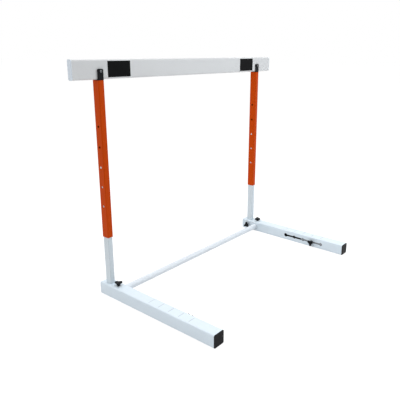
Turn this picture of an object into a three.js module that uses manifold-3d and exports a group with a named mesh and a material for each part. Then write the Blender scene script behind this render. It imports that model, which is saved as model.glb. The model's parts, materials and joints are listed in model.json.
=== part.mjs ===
// Track hurdle: a crossbar on two telescoping uprights, which stand in two long floor runners with
// sliding counterweights. Millimetres. +X runs along the crossbar, +Y to the rear and +Z up.
// The origin lies on the ground under the middle of the whole hurdle.

import * as THREE from 'three';
import { mergeVertices } from 'three/addons/utils/BufferGeometryUtils.js';
import Module from 'manifold-3d';

const wasm = await Module();
wasm.setup();

// Height settings: the lowest bar height, the step between settings and the one that is set, counted from 0
const lowestHeight = 762;
const heightStep = 76.2;
const heightCount = 5;
const heightIndex = 2;

// Crossbar: a hollow profile with rounded long edges, which reaches out past the uprights
const barLength = 1200;
const barOverhang = 115;
const barHeight = 70;
const barThickness = 22.5;
const barEdgeRadius = 6.5;
const barWall = 3;

// Crossbar end caps
const barCapFlange = 2;
const barCapDepth = 14;
const barCapWall = 2;

// Dark bands on the crossbar's flat faces, inside the uprights
const bandLength = 105;
const bandFromPost = 35.5;
const bandThickness = 0.4;

// Brackets that hold the crossbar on the uprights
const bracketWidth = 23;
const bracketRise = 37;
const bracketSideWall = 5.4;
const bracketBaseWall = 2.5;
const bracketPlugDepth = 25;
const bracketPlugWall = 2.5;
const boltFromBase = 28.5;
const boltDiameter = 6;
const boltHeadDiameter = 10;
const boltHeadHeight = 4.5;
const boltEnd = 3;
const boltNutFlats = 10;
const boltNutThickness = 5;

// Upper tubes, which slide on the posts
const upperTubeWidth = 25;
const upperTubeDepth = 34;
const upperTubeWall = 1.6;
const upperTubeCorner = 3.5;
const upperTubeLength = 595;
const firstHoleFromTop = 164.5;
const lockHoleDiameter = 9;

// Posts
const postWidth = 21;
const postDepth = 30;
const postWall = 1.5;
const postCorner = 3;
const postAboveLock = 22;

// Snap buttons and the leaf spring that carries each pair of them
const buttonDiameter = 8;
const buttonProud = 2;
const buttonDome = 2.5;
const buttonRivetDiameter = 4;
const buttonRivetLength = 1.5;
const springThickness = 0.8;
const springWidth = 12;
const springLegAbove = 8;
const springLegBelow = 34;

// Runners
const runnerSide = 50;
const runnerWall = 2;
const runnerCorner = 5;
const runnerLength = 589;
const postFromRear = 32;

// Caps in the runners' ends
const runnerCapFlange = 3;
const runnerCapEdge = 1;
const runnerCapDepth = 13;
const runnerCapWall = 2;

// Sockets that hold the posts inside the runners
const socketWall = 2;

// Cross tube between the runners, with the spigots that carry its ends
const crossTubeDiameter = 26;
const crossTubeWall = 1.5;
const crossTubeFromPost = 48;
const crossTubeEndGap = 3;
const spigotWall = 2;
const spigotLength = 18;

// Clamp screws: lobed knobs on threaded studs, with nuts welded inside the runners
const clampStudDiameter = 8;
const clampNutFlats = 13;
const clampNutThickness = 6.5;
const knobLobes = 3;
const knobReach = 16.5;
const knobWaist = 8.6;
const knobLobeRadius = 5;
const knobEdge = 1.5;
const knobHeight = 15.5;
const knobHeadHeight = 8;
const knobHubDiameter = 17;
const knobFootDiameter = 12.5;
const studGrip = 9;

// How far each knob is turned, in degrees, in the left runner and in the right one
const knobTurns = {
  left: { cross: -16, post: 12, weight: 0 },
  right: { cross: 38, post: 2, weight: -54 },
};

// Counterweights in the runners, and the slots that their screws slide in
const weightLength = 120;
const weightWidth = 40;
const weightHeight = 42;
const weightStudDiameter = 6;
const weightStudDepth = 22;
const washerDiameter = 20;
const washerThickness = 1.5;
const slotHeight = 9;
const stationCount = 5;
const stationStep = 50;
const lastStationFromFront = 112;
const stationIndex = 3;
const stationHoleDiameter = 16;
const entryHoleDiameter = 18.5;

// Clearances: between pieces that are cut to fit, between sliding tubes, and a cutter's run past a face
const fitGap = 0.3;
const slideGap = 0.4;
const overrun = 5;

// Sides of a hexagonal nut or bolt head
const nutSides = 6;

// Fineness: steps round a quarter of a tube's corner, round a full circle, and along a dome
const cornerSteps = 4;
const circleSteps = 16;
const tubeSteps = 32;
const domeSteps = 4;

// Finishes, with colours as they look in even light
const finishes = {
  white: new THREE.MeshStandardMaterial({ color: 0xe9eff4, roughness: 0.4, metalness: 0.1 }),
  orange: new THREE.MeshStandardMaterial({ color: 0xc8481a, roughness: 0.42, metalness: 0.1 }),
  barWhite: new THREE.MeshStandardMaterial({ color: 0xececec, roughness: 0.35, metalness: 0 }),
  black: new THREE.MeshStandardMaterial({ color: 0x1c1b1b, roughness: 0.55, metalness: 0 }),
  bandBlack: new THREE.MeshStandardMaterial({ color: 0x171716, roughness: 0.4, metalness: 0 }),
  zinc: new THREE.MeshStandardMaterial({ color: 0xb9bcc0, roughness: 0.35, metalness: 0.9 }),
  steel: new THREE.MeshStandardMaterial({ color: 0x8d9196, roughness: 0.5, metalness: 0.8 }),
};

// Levels and places that follow from the sizes
const barTopZ = lowestHeight + heightIndex * heightStep;
const barBottomZ = barTopZ - barHeight;
const upperTubeTopZ = barBottomZ - bracketBaseWall;
const lockZ = lowestHeight - barHeight - bracketBaseWall - firstHoleFromTop;
const postTopZ = lockZ + postAboveLock;
const runnerMiddleZ = runnerSide / 2;
const rearY = runnerLength / 2;
const postY = rearY - postFromRear;
const postX = barLength / 2 - barOverhang;
const crossTubeY = postY - crossTubeFromPost;
const runnerInside = runnerSide / 2 - runnerWall;
const postHoleWidth = postWidth + 2 * slideGap;
const postHoleDepth = postDepth + 2 * slideGap;
const firstStationFromRear = runnerLength - lastStationFromFront - (stationCount - 1) * stationStep;
const heldStationY = rearY - firstStationFromRear - stationIndex * stationStep;

// Shapes and solids

/** A rectangle with rounded corners, centred on the origin. */
function roundedRectangle(width, height, radius, Kind = THREE.Shape) {
  const [x, y] = [width / 2 - radius, height / 2 - radius];
  const outline = new Kind();
  outline.absarc(x, y, radius, 0, Math.PI / 2);
  outline.absarc(-x, y, radius, Math.PI / 2, Math.PI);
  outline.absarc(-x, -y, radius, Math.PI, 1.5 * Math.PI);
  outline.absarc(x, -y, radius, 1.5 * Math.PI, 2 * Math.PI);
  outline.closePath();
  return outline;
}

/** A shape pulled straight up along Z from z = 0, with the given number of steps along each of its arcs. */
function extrude(shape, length, steps = cornerSteps) {
  return new THREE.ExtrudeGeometry(shape, { depth: length, bevelEnabled: false, curveSegments: steps / 2 });
}

/** A rectangular tube along Z from z = 0, with its wall inside the given outer size. */
function rectangularTube(width, height, wall, radius, length) {
  const shape = roundedRectangle(width, height, radius);
  const innerRadius = Math.max(radius - wall, radius / 4);
  shape.holes.push(roundedRectangle(width - 2 * wall, height - 2 * wall, innerRadius, THREE.Path));
  return extrude(shape, length);
}

/** A round tube along Z from z = 0. */
function roundTube(diameter, wall, length) {
  const shape = new THREE.Shape();
  shape.absarc(0, 0, diameter / 2, 0, 2 * Math.PI);
  const bore = new THREE.Path();
  bore.absarc(0, 0, diameter / 2 - wall, 0, 2 * Math.PI);
  shape.holes.push(bore);
  return extrude(shape, length, tubeSteps);
}

/** A cylinder along Z from z = start to z = end. */
function rod(diameter, start, end) {
  const radius = diameter / 2;
  const geometry = new THREE.CylinderGeometry(radius, radius, end - start, circleSteps);
  return geometry.rotateX(Math.PI / 2).translate(0, 0, (start + end) / 2);
}

/** A box between two corners. */
function block(low, high) {
  const size = high.map((value, i) => value - low[i]);
  const middle = high.map((value, i) => (value + low[i]) / 2);
  return new THREE.BoxGeometry(...size).translate(...middle);
}

/** The solid inside a closed geometry. */
function solid(geometry) {
  const bare = geometry.clone();
  bare.deleteAttribute('normal');
  bare.deleteAttribute('uv');
  const merged = mergeVertices(bare);
  return new wasm.Manifold(new wasm.Mesh({
    numProp: 3,
    vertProperties: merged.attributes.position.array,
    triVerts: new Uint32Array(merged.index.array),
  }));
}

/** The geometry of a solid's surface. */
function surface(manifold) {
  const mesh = manifold.getMesh();
  const geometry = new THREE.BufferGeometry();
  geometry.setAttribute('position', new THREE.BufferAttribute(mesh.vertProperties, 3));
  geometry.setIndex(new THREE.BufferAttribute(mesh.triVerts, 1));
  const flat = geometry.toNonIndexed();
  flat.computeVertexNormals();
  return flat;
}

/** A body with other geometries joined on and then others cut out of it. */
function carve(body, { joined = [], cut = [] }) {
  let result = solid(body);
  for (const geometry of joined) result = result.add(solid(geometry));
  for (const geometry of cut) result = result.subtract(solid(geometry));
  return surface(result);
}

/** A named mesh. */
function piece(name, geometry, finish) {
  const mesh = new THREE.Mesh(geometry, finish);
  mesh.name = name;
  return mesh;
}

/** A group at a place, turned about X and Y, holding the given objects. */
function placed(position, { turnX = 0, turnY = 0 }, ...objects) {
  const group = new THREE.Group();
  group.position.set(...position);
  group.rotation.set(turnX, turnY, 0);
  for (const object of objects) group.add(object);
  return group;
}

// Fasteners

/** A hexagonal nut along Z from z = 0. */
function hexNut(flats, thickness, threadDiameter) {
  const shape = new THREE.Shape();
  const radius = flats / 2 / Math.cos(Math.PI / nutSides);
  for (let corner = 0; corner < nutSides; corner += 1) {
    const angle = (corner * 2 * Math.PI) / nutSides;
    const point = [radius * Math.cos(angle), radius * Math.sin(angle)];
    if (corner === 0) shape.moveTo(...point);
    else shape.lineTo(...point);
  }
  shape.closePath();
  const bore = new THREE.Path();
  bore.absarc(0, 0, threadDiameter / 2 + fitGap, 0, 2 * Math.PI);
  shape.holes.push(bore);
  return extrude(shape, thickness, circleSteps);
}

/** The outline of a knob's head, drawn in by a margin: lobes, the first along X, and shallow hollows. */
function lobedOutline(margin) {
  const [reach, waist, radius] = [knobReach - margin, knobWaist - margin, knobLobeRadius - margin];
  const halfStep = Math.PI / knobLobes;
  const lobeAt = reach - radius;
  const rise = waist - lobeAt * Math.cos(halfStep);
  const across = lobeAt * Math.sin(halfStep);
  const hollowRadius = (rise ** 2 + across ** 2 - radius ** 2) / (2 * (radius - rise));
  const hollowAt = waist + hollowRadius;
  const sweep = Math.atan2(hollowAt * Math.sin(halfStep), hollowAt * Math.cos(halfStep) - lobeAt);
  const shape = new THREE.Shape();
  for (let lobe = 0; lobe < knobLobes; lobe += 1) {
    const turn = 2 * lobe * halfStep;
    shape.absarc(lobeAt * Math.cos(turn), lobeAt * Math.sin(turn), radius, turn - sweep, turn + sweep);
    const hollowTurn = turn + halfStep;
    const [x, y] = [hollowAt * Math.cos(hollowTurn), hollowAt * Math.sin(hollowTurn)];
    shape.absarc(x, y, hollowRadius, Math.PI + turn + sweep, Math.PI + turn + 2 * halfStep - sweep, true);
  }
  shape.closePath();
  return shape;
}

/** A knob that stands on z = 0, with a lobed head on a tapered hub and a blind hole for its stud. */
function lobedKnob(studDiameter) {
  const head = new THREE.ExtrudeGeometry(lobedOutline(knobEdge), {
    depth: knobHeadHeight - 2 * knobEdge,
    bevelThickness: knobEdge,
    bevelSize: knobEdge,
    bevelSegments: 2,
    curveSegments: cornerSteps,
  }).translate(0, 0, knobHeight - knobHeadHeight + knobEdge);
  const profile = [
    new THREE.Vector2(0, 0),
    new THREE.Vector2(knobFootDiameter / 2, 0),
    new THREE.Vector2(knobHubDiameter / 2, knobHeight - knobHeadHeight),
    new THREE.Vector2(knobHubDiameter / 2, knobHeight - knobHeadHeight / 2),
    new THREE.Vector2(0, knobHeight - knobHeadHeight / 2),
  ];
  const hub = new THREE.LatheGeometry(profile, tubeSteps).rotateX(Math.PI / 2);
  const bore = rod(studDiameter + 2 * fitGap, -overrun, studGrip + fitGap);
  return carve(hub, { joined: [head], cut: [bore] });
}

/** A knob and its stud, which reaches down below the knob's foot, turned by an angle in degrees. */
function clampScrew(name, studDiameter, reach, turn) {
  const group = new THREE.Group();
  group.rotation.z = THREE.MathUtils.degToRad(turn);
  group.add(
    piece(`${name}_knob`, lobedKnob(studDiameter), finishes.black),
    piece(`${name}_stud`, rod(studDiameter, -reach, studGrip), finishes.zinc),
  );
  return group;
}

// Runners: local Z runs from the rear end to the front, local Y is up

/** A runner's square tube, with the openings for its post, cross tube, clamp screws and counterweight. */
function runnerTube(inward) {
  const tube = rectangularTube(runnerSide, runnerSide, runnerWall, runnerCorner, runnerLength);
  const crossTubeAt = postFromRear + crossTubeFromPost;
  const stationAt = (index) => firstStationFromRear + index * stationStep;

  /** A round cut through the inner side wall. */
  const sideHole = (diameter, at) => {
    const hole = rod(diameter, runnerInside - overrun, runnerSide / 2 + overrun);
    return hole.rotateY((inward * Math.PI) / 2).translate(0, 0, at);
  };
  const topHole = rod(clampStudDiameter + 2 * slideGap, runnerInside - overrun, runnerSide / 2 + overrun);
  const postOutline = roundedRectangle(postHoleWidth, postHoleDepth, postCorner);
  const postHole = extrude(postOutline, 2 * overrun + runnerWall);
  const slotEnds = [inward * (runnerInside - overrun), inward * (runnerSide / 2 + overrun)];
  const slot = block(
    [Math.min(...slotEnds), -slotHeight / 2, stationAt(0)],
    [Math.max(...slotEnds), slotHeight / 2, stationAt(stationCount - 1)],
  );
  const stationHoles = Array.from({ length: stationCount }, (_, index) => {
    const diameter = index === 0 ? entryHoleDiameter : stationHoleDiameter;
    return sideHole(diameter, stationAt(index));
  });
  return carve(tube, {
    cut: [
      topHole.rotateX(-Math.PI / 2).translate(0, 0, crossTubeAt),
      postHole.rotateX(-Math.PI / 2).translate(0, runnerInside - overrun, postFromRear),
      sideHole(crossTubeDiameter + 2 * slideGap, crossTubeAt),
      sideHole(clampStudDiameter + 2 * slideGap, postFromRear),
      slot,
      ...stationHoles,
    ],
  });
}

/** A cap's flange over the tube's end from z = 0, and its hollow plug, which goes down into the tube. */
function endCap({ width, height, radius, wall, flange, edge, depth, plugWall }) {
  const flat = roundedRectangle(width - 2 * edge, height - 2 * edge, radius - edge);
  const plate = new THREE.ExtrudeGeometry(flat, {
    depth: flange - 2 * edge,
    bevelThickness: edge,
    bevelSize: edge,
    bevelSegments: 2,
    curveSegments: cornerSteps / 2,
  }).translate(0, 0, edge);
  const plugInset = 2 * (wall + fitGap);
  const plugRadius = Math.max(radius - wall - fitGap, radius / 4);
  const plugLength = depth + flange / 2;
  const plug = rectangularTube(width - plugInset, height - plugInset, plugWall, plugRadius, plugLength);
  return carve(plate, { joined: [plug.translate(0, 0, -depth)] });
}

/** The cap of a runner's end. */
function runnerCap() {
  return endCap({
    width: runnerSide, height: runnerSide, radius: runnerCorner, wall: runnerWall,
    flange: runnerCapFlange, edge: runnerCapEdge, depth: runnerCapDepth, plugWall: runnerCapWall,
  });
}

/** The socket that a post stands in, along Z, with the hole for the clamp screw. */
function postSocket(inward) {
  const [width, depth] = [postHoleWidth + 2 * socketWall, postHoleDepth + 2 * socketWall];
  const tube = rectangularTube(width, depth, socketWall, postCorner + socketWall, 2 * runnerInside);
  const hole = rod(clampStudDiameter + 2 * slideGap, 0, width / 2 + overrun);
  return carve(tube.translate(0, 0, -runnerInside), { cut: [hole.rotateY((inward * Math.PI) / 2)] });
}

/** The counterweight block, along local Z, with the threaded hole for its screw. */
function counterweight(inward) {
  const body = new THREE.BoxGeometry(weightWidth, weightHeight, weightLength);
  const face = weightWidth / 2;
  const hole = rod(weightStudDiameter + 2 * fitGap, face - weightStudDepth, face + overrun);
  return carve(body, { cut: [hole.rotateY((inward * Math.PI) / 2)] });
}

/** A flat washer along Z from z = 0. */
function washer() {
  const wall = (washerDiameter - weightStudDiameter) / 2 - fitGap;
  return roundTube(washerDiameter, wall, washerThickness);
}

/** Everything that stands on one runner, up to the post. */
function runnerSideGroup(label, side) {
  const inward = -side;
  const turnIn = { turnY: (inward * Math.PI) / 2 };
  const group = new THREE.Group();
  group.position.set(side * postX, 0, runnerMiddleZ);
  const innerFace = inward * (runnerSide / 2);
  const crossAt = crossTubeY;
  const studAboveTube = runnerSide / 2 - crossTubeDiameter / 2;
  const nutSeat = inward * (runnerInside - clampNutThickness);
  const turns = knobTurns[label];

  // the tube, its caps and the socket
  const [toFront, toRear] = [{ turnX: Math.PI / 2 }, { turnX: -Math.PI / 2 }];
  group.add(
    placed([0, rearY, 0], toFront, piece(`${label}_runner`, runnerTube(inward), finishes.white)),
    placed([0, -rearY, 0], toFront, piece(`${label}_runner_front_cap`, runnerCap(), finishes.black)),
    placed([0, rearY, 0], toRear, piece(`${label}_runner_rear_cap`, runnerCap(), finishes.barWhite)),
    placed([0, postY, 0], {}, piece(`${label}_post_socket`, postSocket(inward), finishes.white)),
  );

  // the post's clamp, on the inner face
  group.add(
    placed([nutSeat, postY, 0], turnIn, piece(
      `${label}_post_clamp_nut`, hexNut(clampNutFlats, clampNutThickness, clampStudDiameter), finishes.steel,
    )),
    placed([innerFace + inward * fitGap, postY, 0], turnIn, clampScrew(
      `${label}_post_clamp`, clampStudDiameter, (runnerSide - postWidth) / 2, turns.post,
    )),
  );

  // the cross tube's clamp, on top
  group.add(
    placed([0, crossAt, runnerInside - clampNutThickness], {}, piece(
      `${label}_cross_clamp_nut`, hexNut(clampNutFlats, clampNutThickness, clampStudDiameter), finishes.steel,
    )),
    placed([0, crossAt, runnerSide / 2 + fitGap], {}, clampScrew(
      `${label}_cross_clamp`, clampStudDiameter, studAboveTube, turns.cross,
    )),
  );

  // the spigot in the cross tube's end, on the outer wall
  const spigotDiameter = crossTubeDiameter - 2 * crossTubeWall - 2 * fitGap;
  group.add(placed([side * runnerInside, crossAt, 0], turnIn, piece(
    `${label}_cross_tube_spigot`, roundTube(spigotDiameter, spigotWall, spigotLength), finishes.steel,
  )));

  // the counterweight, pulled against the inner wall by its screw
  const weightX = inward * (runnerInside - fitGap - weightWidth / 2);
  const knobFoot = innerFace + inward * (2 * fitGap + washerThickness);
  const weightStudReach = 2 * fitGap + washerThickness + runnerWall + weightStudDepth;
  group.add(
    placed([weightX, heldStationY, 0], toFront, piece(
      `${label}_counterweight`, counterweight(inward), finishes.steel,
    )),
    placed([innerFace + inward * fitGap, heldStationY, 0], turnIn, piece(
      `${label}_counterweight_washer`, washer(), finishes.zinc,
    )),
    placed([knobFoot, heldStationY, 0], turnIn, clampScrew(
      `${label}_counterweight`, weightStudDiameter, weightStudReach, turns.weight,
    )),
  );
  return group;
}

// Uprights

/** A post, with the hole that its snap buttons come out of. */
function post() {
  const bottomZ = runnerWall + fitGap;
  const tube = rectangularTube(postWidth, postDepth, postWall, postCorner, postTopZ - bottomZ);
  const hole = rod(lockHoleDiameter, -postWidth, postWidth).rotateY(Math.PI / 2).translate(0, 0, lockZ);
  return carve(tube.translate(0, 0, bottomZ), { cut: [hole] });
}

/** An upper tube, down from its top end at z = 0, with a lock hole through both sides for each height. */
function upperTube() {
  const tube = rectangularTube(upperTubeWidth, upperTubeDepth, upperTubeWall, upperTubeCorner, upperTubeLength);
  const holes = Array.from({ length: heightCount }, (_, index) => {
    const z = -firstHoleFromTop - index * heightStep;
    return rod(lockHoleDiameter, -upperTubeWidth, upperTubeWidth).rotateY(Math.PI / 2).translate(0, 0, z);
  });
  return carve(tube.translate(0, 0, -upperTubeLength), { cut: holes });
}

/** The leaf spring: two legs against the post's side walls, joined by a round bend below. */
function leafSpring() {
  const outer = postWidth / 2 - postWall - fitGap;
  const inner = outer - springThickness;
  const shape = new THREE.Shape();
  shape.moveTo(outer, springLegAbove);
  shape.lineTo(inner, springLegAbove);
  shape.lineTo(inner, -springLegBelow);
  shape.absarc(0, -springLegBelow, inner, 0, -Math.PI, true);
  shape.lineTo(-inner, springLegAbove);
  shape.lineTo(-outer, springLegAbove);
  shape.lineTo(-outer, -springLegBelow);
  shape.absarc(0, -springLegBelow, outer, -Math.PI, 0);
  shape.closePath();
  const strip = extrude(shape, springWidth, circleSteps);
  strip.rotateX(Math.PI / 2).translate(0, springWidth / 2, 0);
  const rivetHole = rod(buttonRivetDiameter + 2 * fitGap, -postWidth, postWidth).rotateY(Math.PI / 2);
  return carve(strip, { cut: [rivetHole] });
}

/** A snap button along Z: a domed pin that stands on the spring's leg, and the rivet through the leg. */
function snapButton() {
  const foot = postWidth / 2 - postWall;
  const tip = upperTubeWidth / 2 + buttonProud;
  const rivetEnd = foot - fitGap - springThickness - buttonRivetLength;
  const radius = buttonDiameter / 2;
  const profile = [
    new THREE.Vector2(0, rivetEnd),
    new THREE.Vector2(buttonRivetDiameter / 2, rivetEnd),
    new THREE.Vector2(buttonRivetDiameter / 2, foot),
    new THREE.Vector2(radius, foot),
  ];
  for (let step = 0; step < domeSteps; step += 1) {
    const angle = (step / domeSteps) * (Math.PI / 2);
    const z = tip - buttonDome + buttonDome * Math.sin(angle);
    profile.push(new THREE.Vector2(radius * Math.cos(angle), z));
  }
  profile.push(new THREE.Vector2(0, tip));
  return new THREE.LatheGeometry(profile, circleSteps).rotateX(Math.PI / 2);
}

/** The post, its spring and buttons, on the ground at the post's axis. */
function lowerUpright(label, side) {
  return placed([side * postX, postY, 0], {},
    piece(`${label}_post`, post(), finishes.white),
    placed([0, 0, lockZ], {}, piece(`${label}_snap_spring`, leafSpring(), finishes.zinc)),
    placed([0, 0, lockZ], { turnY: (side * Math.PI) / 2 }, piece(
      `${label}_snap_button_outer`, snapButton(), finishes.zinc,
    )),
    placed([0, 0, lockZ], { turnY: (-side * Math.PI) / 2 }, piece(
      `${label}_snap_button_inner`, snapButton(), finishes.zinc,
    )),
  );
}

// Crossbar

/** A bracket: a cradle under the bar with a wall on each side, and below z = 0 a hollow plug. */
function bracket() {
  const insideY = barThickness / 2 + fitGap;
  const reachY = insideY + bracketSideWall;
  const halfWidth = bracketWidth / 2;
  const top = bracketBaseWall + bracketRise;
  const cradle = block([-halfWidth, -reachY, 0], [halfWidth, reachY, top]);
  const barSpace = block([-bracketWidth, -insideY, bracketBaseWall], [bracketWidth, insideY, 2 * top]);
  const plugInset = 2 * (upperTubeWall + fitGap);
  const [plugWidth, plugDepth] = [upperTubeWidth - plugInset, upperTubeDepth - plugInset];
  const plugRadius = upperTubeCorner - upperTubeWall;
  const plugLength = bracketPlugDepth + bracketBaseWall / 2;
  const plug = rectangularTube(plugWidth, plugDepth, bracketPlugWall, plugRadius, plugLength);
  const hole = rod(boltDiameter + 2 * fitGap, -2 * reachY, 2 * reachY);
  return carve(cradle, {
    joined: [plug.translate(0, 0, -bracketPlugDepth)],
    cut: [barSpace, hole.rotateX(Math.PI / 2).translate(0, 0, bracketBaseWall + boltFromBase)],
  });
}

/** The crossbar's hollow profile along local Z, its height down local X, with the bolt holes through it. */
function crossbar() {
  const length = barLength - 2 * barCapFlange;
  const tube = rectangularTube(barHeight, barThickness, barWall, barEdgeRadius, length);
  const holes = [1, -1].map((side) => {
    const hole = rod(boltDiameter + 2 * fitGap, -barThickness, barThickness).rotateX(Math.PI / 2);
    return hole.translate(barHeight / 2 - boltFromBase, 0, side * postX);
  });
  return carve(tube.translate(0, 0, -length / 2), { cut: holes });
}

/** The cap of a crossbar's end. */
function barCap() {
  return endCap({
    width: barHeight, height: barThickness, radius: barEdgeRadius, wall: barWall,
    flange: barCapFlange, edge: barCapFlange / 4, depth: barCapDepth, plugWall: barCapWall,
  });
}

/** The bracket's bolt along Z: its shank up from the nut's side at z = 0 to the domed head at the front. */
function bracketBolt(grip) {
  const shank = boltDiameter / 2;
  const head = boltHeadDiameter / 2;
  const profile = [
    new THREE.Vector2(0, 0),
    new THREE.Vector2(shank, 0),
    new THREE.Vector2(shank, grip),
    new THREE.Vector2(head, grip),
  ];
  for (let step = 1; step < domeSteps; step += 1) {
    const angle = (step / domeSteps) * (Math.PI / 2);
    profile.push(new THREE.Vector2(head * Math.cos(angle), grip + boltHeadHeight * Math.sin(angle)));
  }
  profile.push(new THREE.Vector2(0, grip + boltHeadHeight));
  return new THREE.LatheGeometry(profile, circleSteps).rotateX(Math.PI / 2);
}

/** One upper tube with its bracket, bolt and nut, from the tube's top end. */
function upperUpright(label, side) {
  const bracketFace = barThickness / 2 + fitGap + bracketSideWall;
  const grip = 2 * bracketFace + fitGap + boltNutThickness + boltEnd;
  const boltZ = bracketBaseWall + boltFromBase;
  return placed([side * postX, postY, upperTubeTopZ], {},
    piece(`${label}_upper_tube`, upperTube(), finishes.orange),
    piece(`${label}_bracket`, bracket(), finishes.black),
    placed([0, grip - bracketFace - fitGap, boltZ], { turnX: Math.PI / 2 }, piece(
      `${label}_bracket_bolt`, bracketBolt(grip), finishes.zinc,
    )),
    placed([0, bracketFace, boltZ], { turnX: -Math.PI / 2 }, piece(
      `${label}_bracket_nut`, hexNut(boltNutFlats, boltNutThickness, boltDiameter), finishes.zinc,
    )),
  );
}

/** The crossbar with its caps and bands, from the bar's middle. */
function crossbarGroup() {
  const group = placed([0, postY, barTopZ - barHeight / 2], {});
  group.add(placed([0, 0, 0], { turnY: Math.PI / 2 }, piece('crossbar', crossbar(), finishes.barWhite)));
  const flatHeight = barHeight - 2 * barEdgeRadius;
  const bandX = postX - bandFromPost - bandLength / 2;
  for (const [label, side] of [['left', -1], ['right', 1]]) {
    group.add(placed([side * (barLength / 2 - barCapFlange), 0, 0], { turnY: (side * Math.PI) / 2 }, piece(
      `crossbar_${label}_cap`, barCap(), finishes.barWhite,
    )));
    for (const [face, outward] of [['front', -1], ['rear', 1]]) {
      const band = piece(
        `crossbar_${label}_${face}_band`,
        new THREE.BoxGeometry(bandLength, bandThickness, flatHeight),
        finishes.bandBlack,
      );
      band.position.set(side * bandX, outward * (barThickness + bandThickness) / 2, 0);
      group.add(band);
    }
  }
  return group;
}

/** The cross tube, which ends just short of the runners' outer walls. */
function crossTubeGroup() {
  const length = 2 * (postX + runnerInside - crossTubeEndGap);
  const tube = roundTube(crossTubeDiameter, crossTubeWall, length).translate(0, 0, -length / 2);
  const alongBar = { turnY: Math.PI / 2 };
  return placed([0, crossTubeY, runnerMiddleZ], alongBar, piece('cross_tube', tube, finishes.white));
}

const hurdle = new THREE.Group();
hurdle.name = 'track_hurdle';
for (const [label, side] of [['left', -1], ['right', 1]]) {
  hurdle.add(runnerSideGroup(label, side), lowerUpright(label, side), upperUpright(label, side));
}
hurdle.add(crossTubeGroup(), crossbarGroup());

export default hurdle;
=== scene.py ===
"""The looks of a track hurdle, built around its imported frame.

The frame holds every piece's size and place. Each sub-assembly here is a class that makes finer
meshes for its visible pieces, dresses them in a finish and sets them on the frame's bodies.
Lengths are in metres, Z is up, the crossbar runs along X and the runners point to the front, along -Y.
"""

from __future__ import annotations

import json
import logging
import math
from collections.abc import Callable, Mapping, Sequence
from dataclasses import dataclass
from enum import Enum

import bmesh
import bpy
from mathutils import Color, Euler, Matrix, Vector

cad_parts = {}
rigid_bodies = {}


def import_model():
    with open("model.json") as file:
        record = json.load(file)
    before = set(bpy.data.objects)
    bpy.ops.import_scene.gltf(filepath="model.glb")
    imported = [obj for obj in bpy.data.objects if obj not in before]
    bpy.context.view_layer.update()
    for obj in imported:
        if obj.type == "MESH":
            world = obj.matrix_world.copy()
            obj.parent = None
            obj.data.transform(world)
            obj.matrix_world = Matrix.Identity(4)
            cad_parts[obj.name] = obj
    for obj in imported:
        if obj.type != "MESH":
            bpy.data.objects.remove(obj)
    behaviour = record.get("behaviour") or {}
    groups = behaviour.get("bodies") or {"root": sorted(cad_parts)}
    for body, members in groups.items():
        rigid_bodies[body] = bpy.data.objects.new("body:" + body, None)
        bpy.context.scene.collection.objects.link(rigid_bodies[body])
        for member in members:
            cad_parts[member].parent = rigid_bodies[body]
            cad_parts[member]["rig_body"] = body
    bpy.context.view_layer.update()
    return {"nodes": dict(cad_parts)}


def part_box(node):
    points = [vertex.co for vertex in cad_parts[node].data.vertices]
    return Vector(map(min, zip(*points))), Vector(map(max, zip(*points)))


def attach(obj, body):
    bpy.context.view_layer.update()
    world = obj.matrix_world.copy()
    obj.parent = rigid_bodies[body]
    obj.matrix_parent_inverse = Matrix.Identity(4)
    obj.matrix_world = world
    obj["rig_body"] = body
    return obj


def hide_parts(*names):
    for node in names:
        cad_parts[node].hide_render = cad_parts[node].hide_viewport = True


MILLIMETRE = 0.001
WELD_DISTANCE = 0.001 * MILLIMETRE
FLAT_ANGLE = math.radians(0.5)
SHARP_ANGLE = math.radians(35)
CUT_OVERRUN = 5 * MILLIMETRE
PLACE_DIGITS = 6
MATRIX_SIZE = 4
ARC_PROFILE = 0.5
SMOOTHING = 0.5
HEXAGON_SIDES = 6
THREAD_DEPTH_SHARE = 0.6
THREAD_PROFILE = ((0.0, 0.0), (0.0, 0.125), (1.0, 0.44), (1.0, 0.69), (0.0, 1.0))
CLOUD_ROUGHNESS = 0.55
CLOUD_MIDDLE = (0.3, 0.7)
FULL_CHANNEL = 255
WHITE = (1.0, 1.0, 1.0, 1.0)
ORIGIN = (0.0, 0.0, 0.0)
Z_AXIS = (0.0, 0.0, 1.0)

log = logging.getLogger("hurdle")

Point = Sequence[float]
Colour = tuple[float, float, float, float]
Shades = tuple[tuple[float, float], ...]
Spread = tuple[float, float]
SocketValue = bpy.types.NodeSocket | float | Sequence[float]


class Side(Enum):
    """The side of the hurdle that a piece is on, seen from the front."""

    LEFT = "left"
    RIGHT = "right"

    @property
    def inward(self) -> float:
        """The sign of X that points to the hurdle's middle."""
        return 1.0 if self is Side.LEFT else -1.0

    def node(self, piece: str) -> str:
        """The name of this side's node for a piece."""
        return f"{self.value}_{piece}"


class Joining(Enum):
    """How one workpiece is combined with another."""

    JOIN = "UNION"
    CUT = "DIFFERENCE"
    KEEP_INSIDE = "INTERSECT"


class Pointing(Enum):
    """A direction that a workpiece, made along Z, is turned to."""

    UP = Euler((0.0, 0.0, 0.0))
    FRONT = Euler((math.pi / 2, 0.0, 0.0))
    REAR = Euler((-math.pi / 2, 0.0, 0.0))
    RIGHT = Euler((0.0, math.pi / 2, 0.0))
    LEFT = Euler((0.0, -math.pi / 2, 0.0))

    def at(self, place: Point, turn: float = 0.0) -> Matrix:
        """The transform that turns a workpiece to this direction at a place.

        Args:
            place: Where the workpiece's origin goes.
            turn: A turn about the workpiece's own Z before that, in radians.

        Returns:
            The transform's matrix.
        """
        turned = self.value.to_matrix().to_4x4() @ Matrix.Rotation(turn, MATRIX_SIZE, "Z")
        return Matrix.Translation(place) @ turned


# Workpieces


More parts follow.
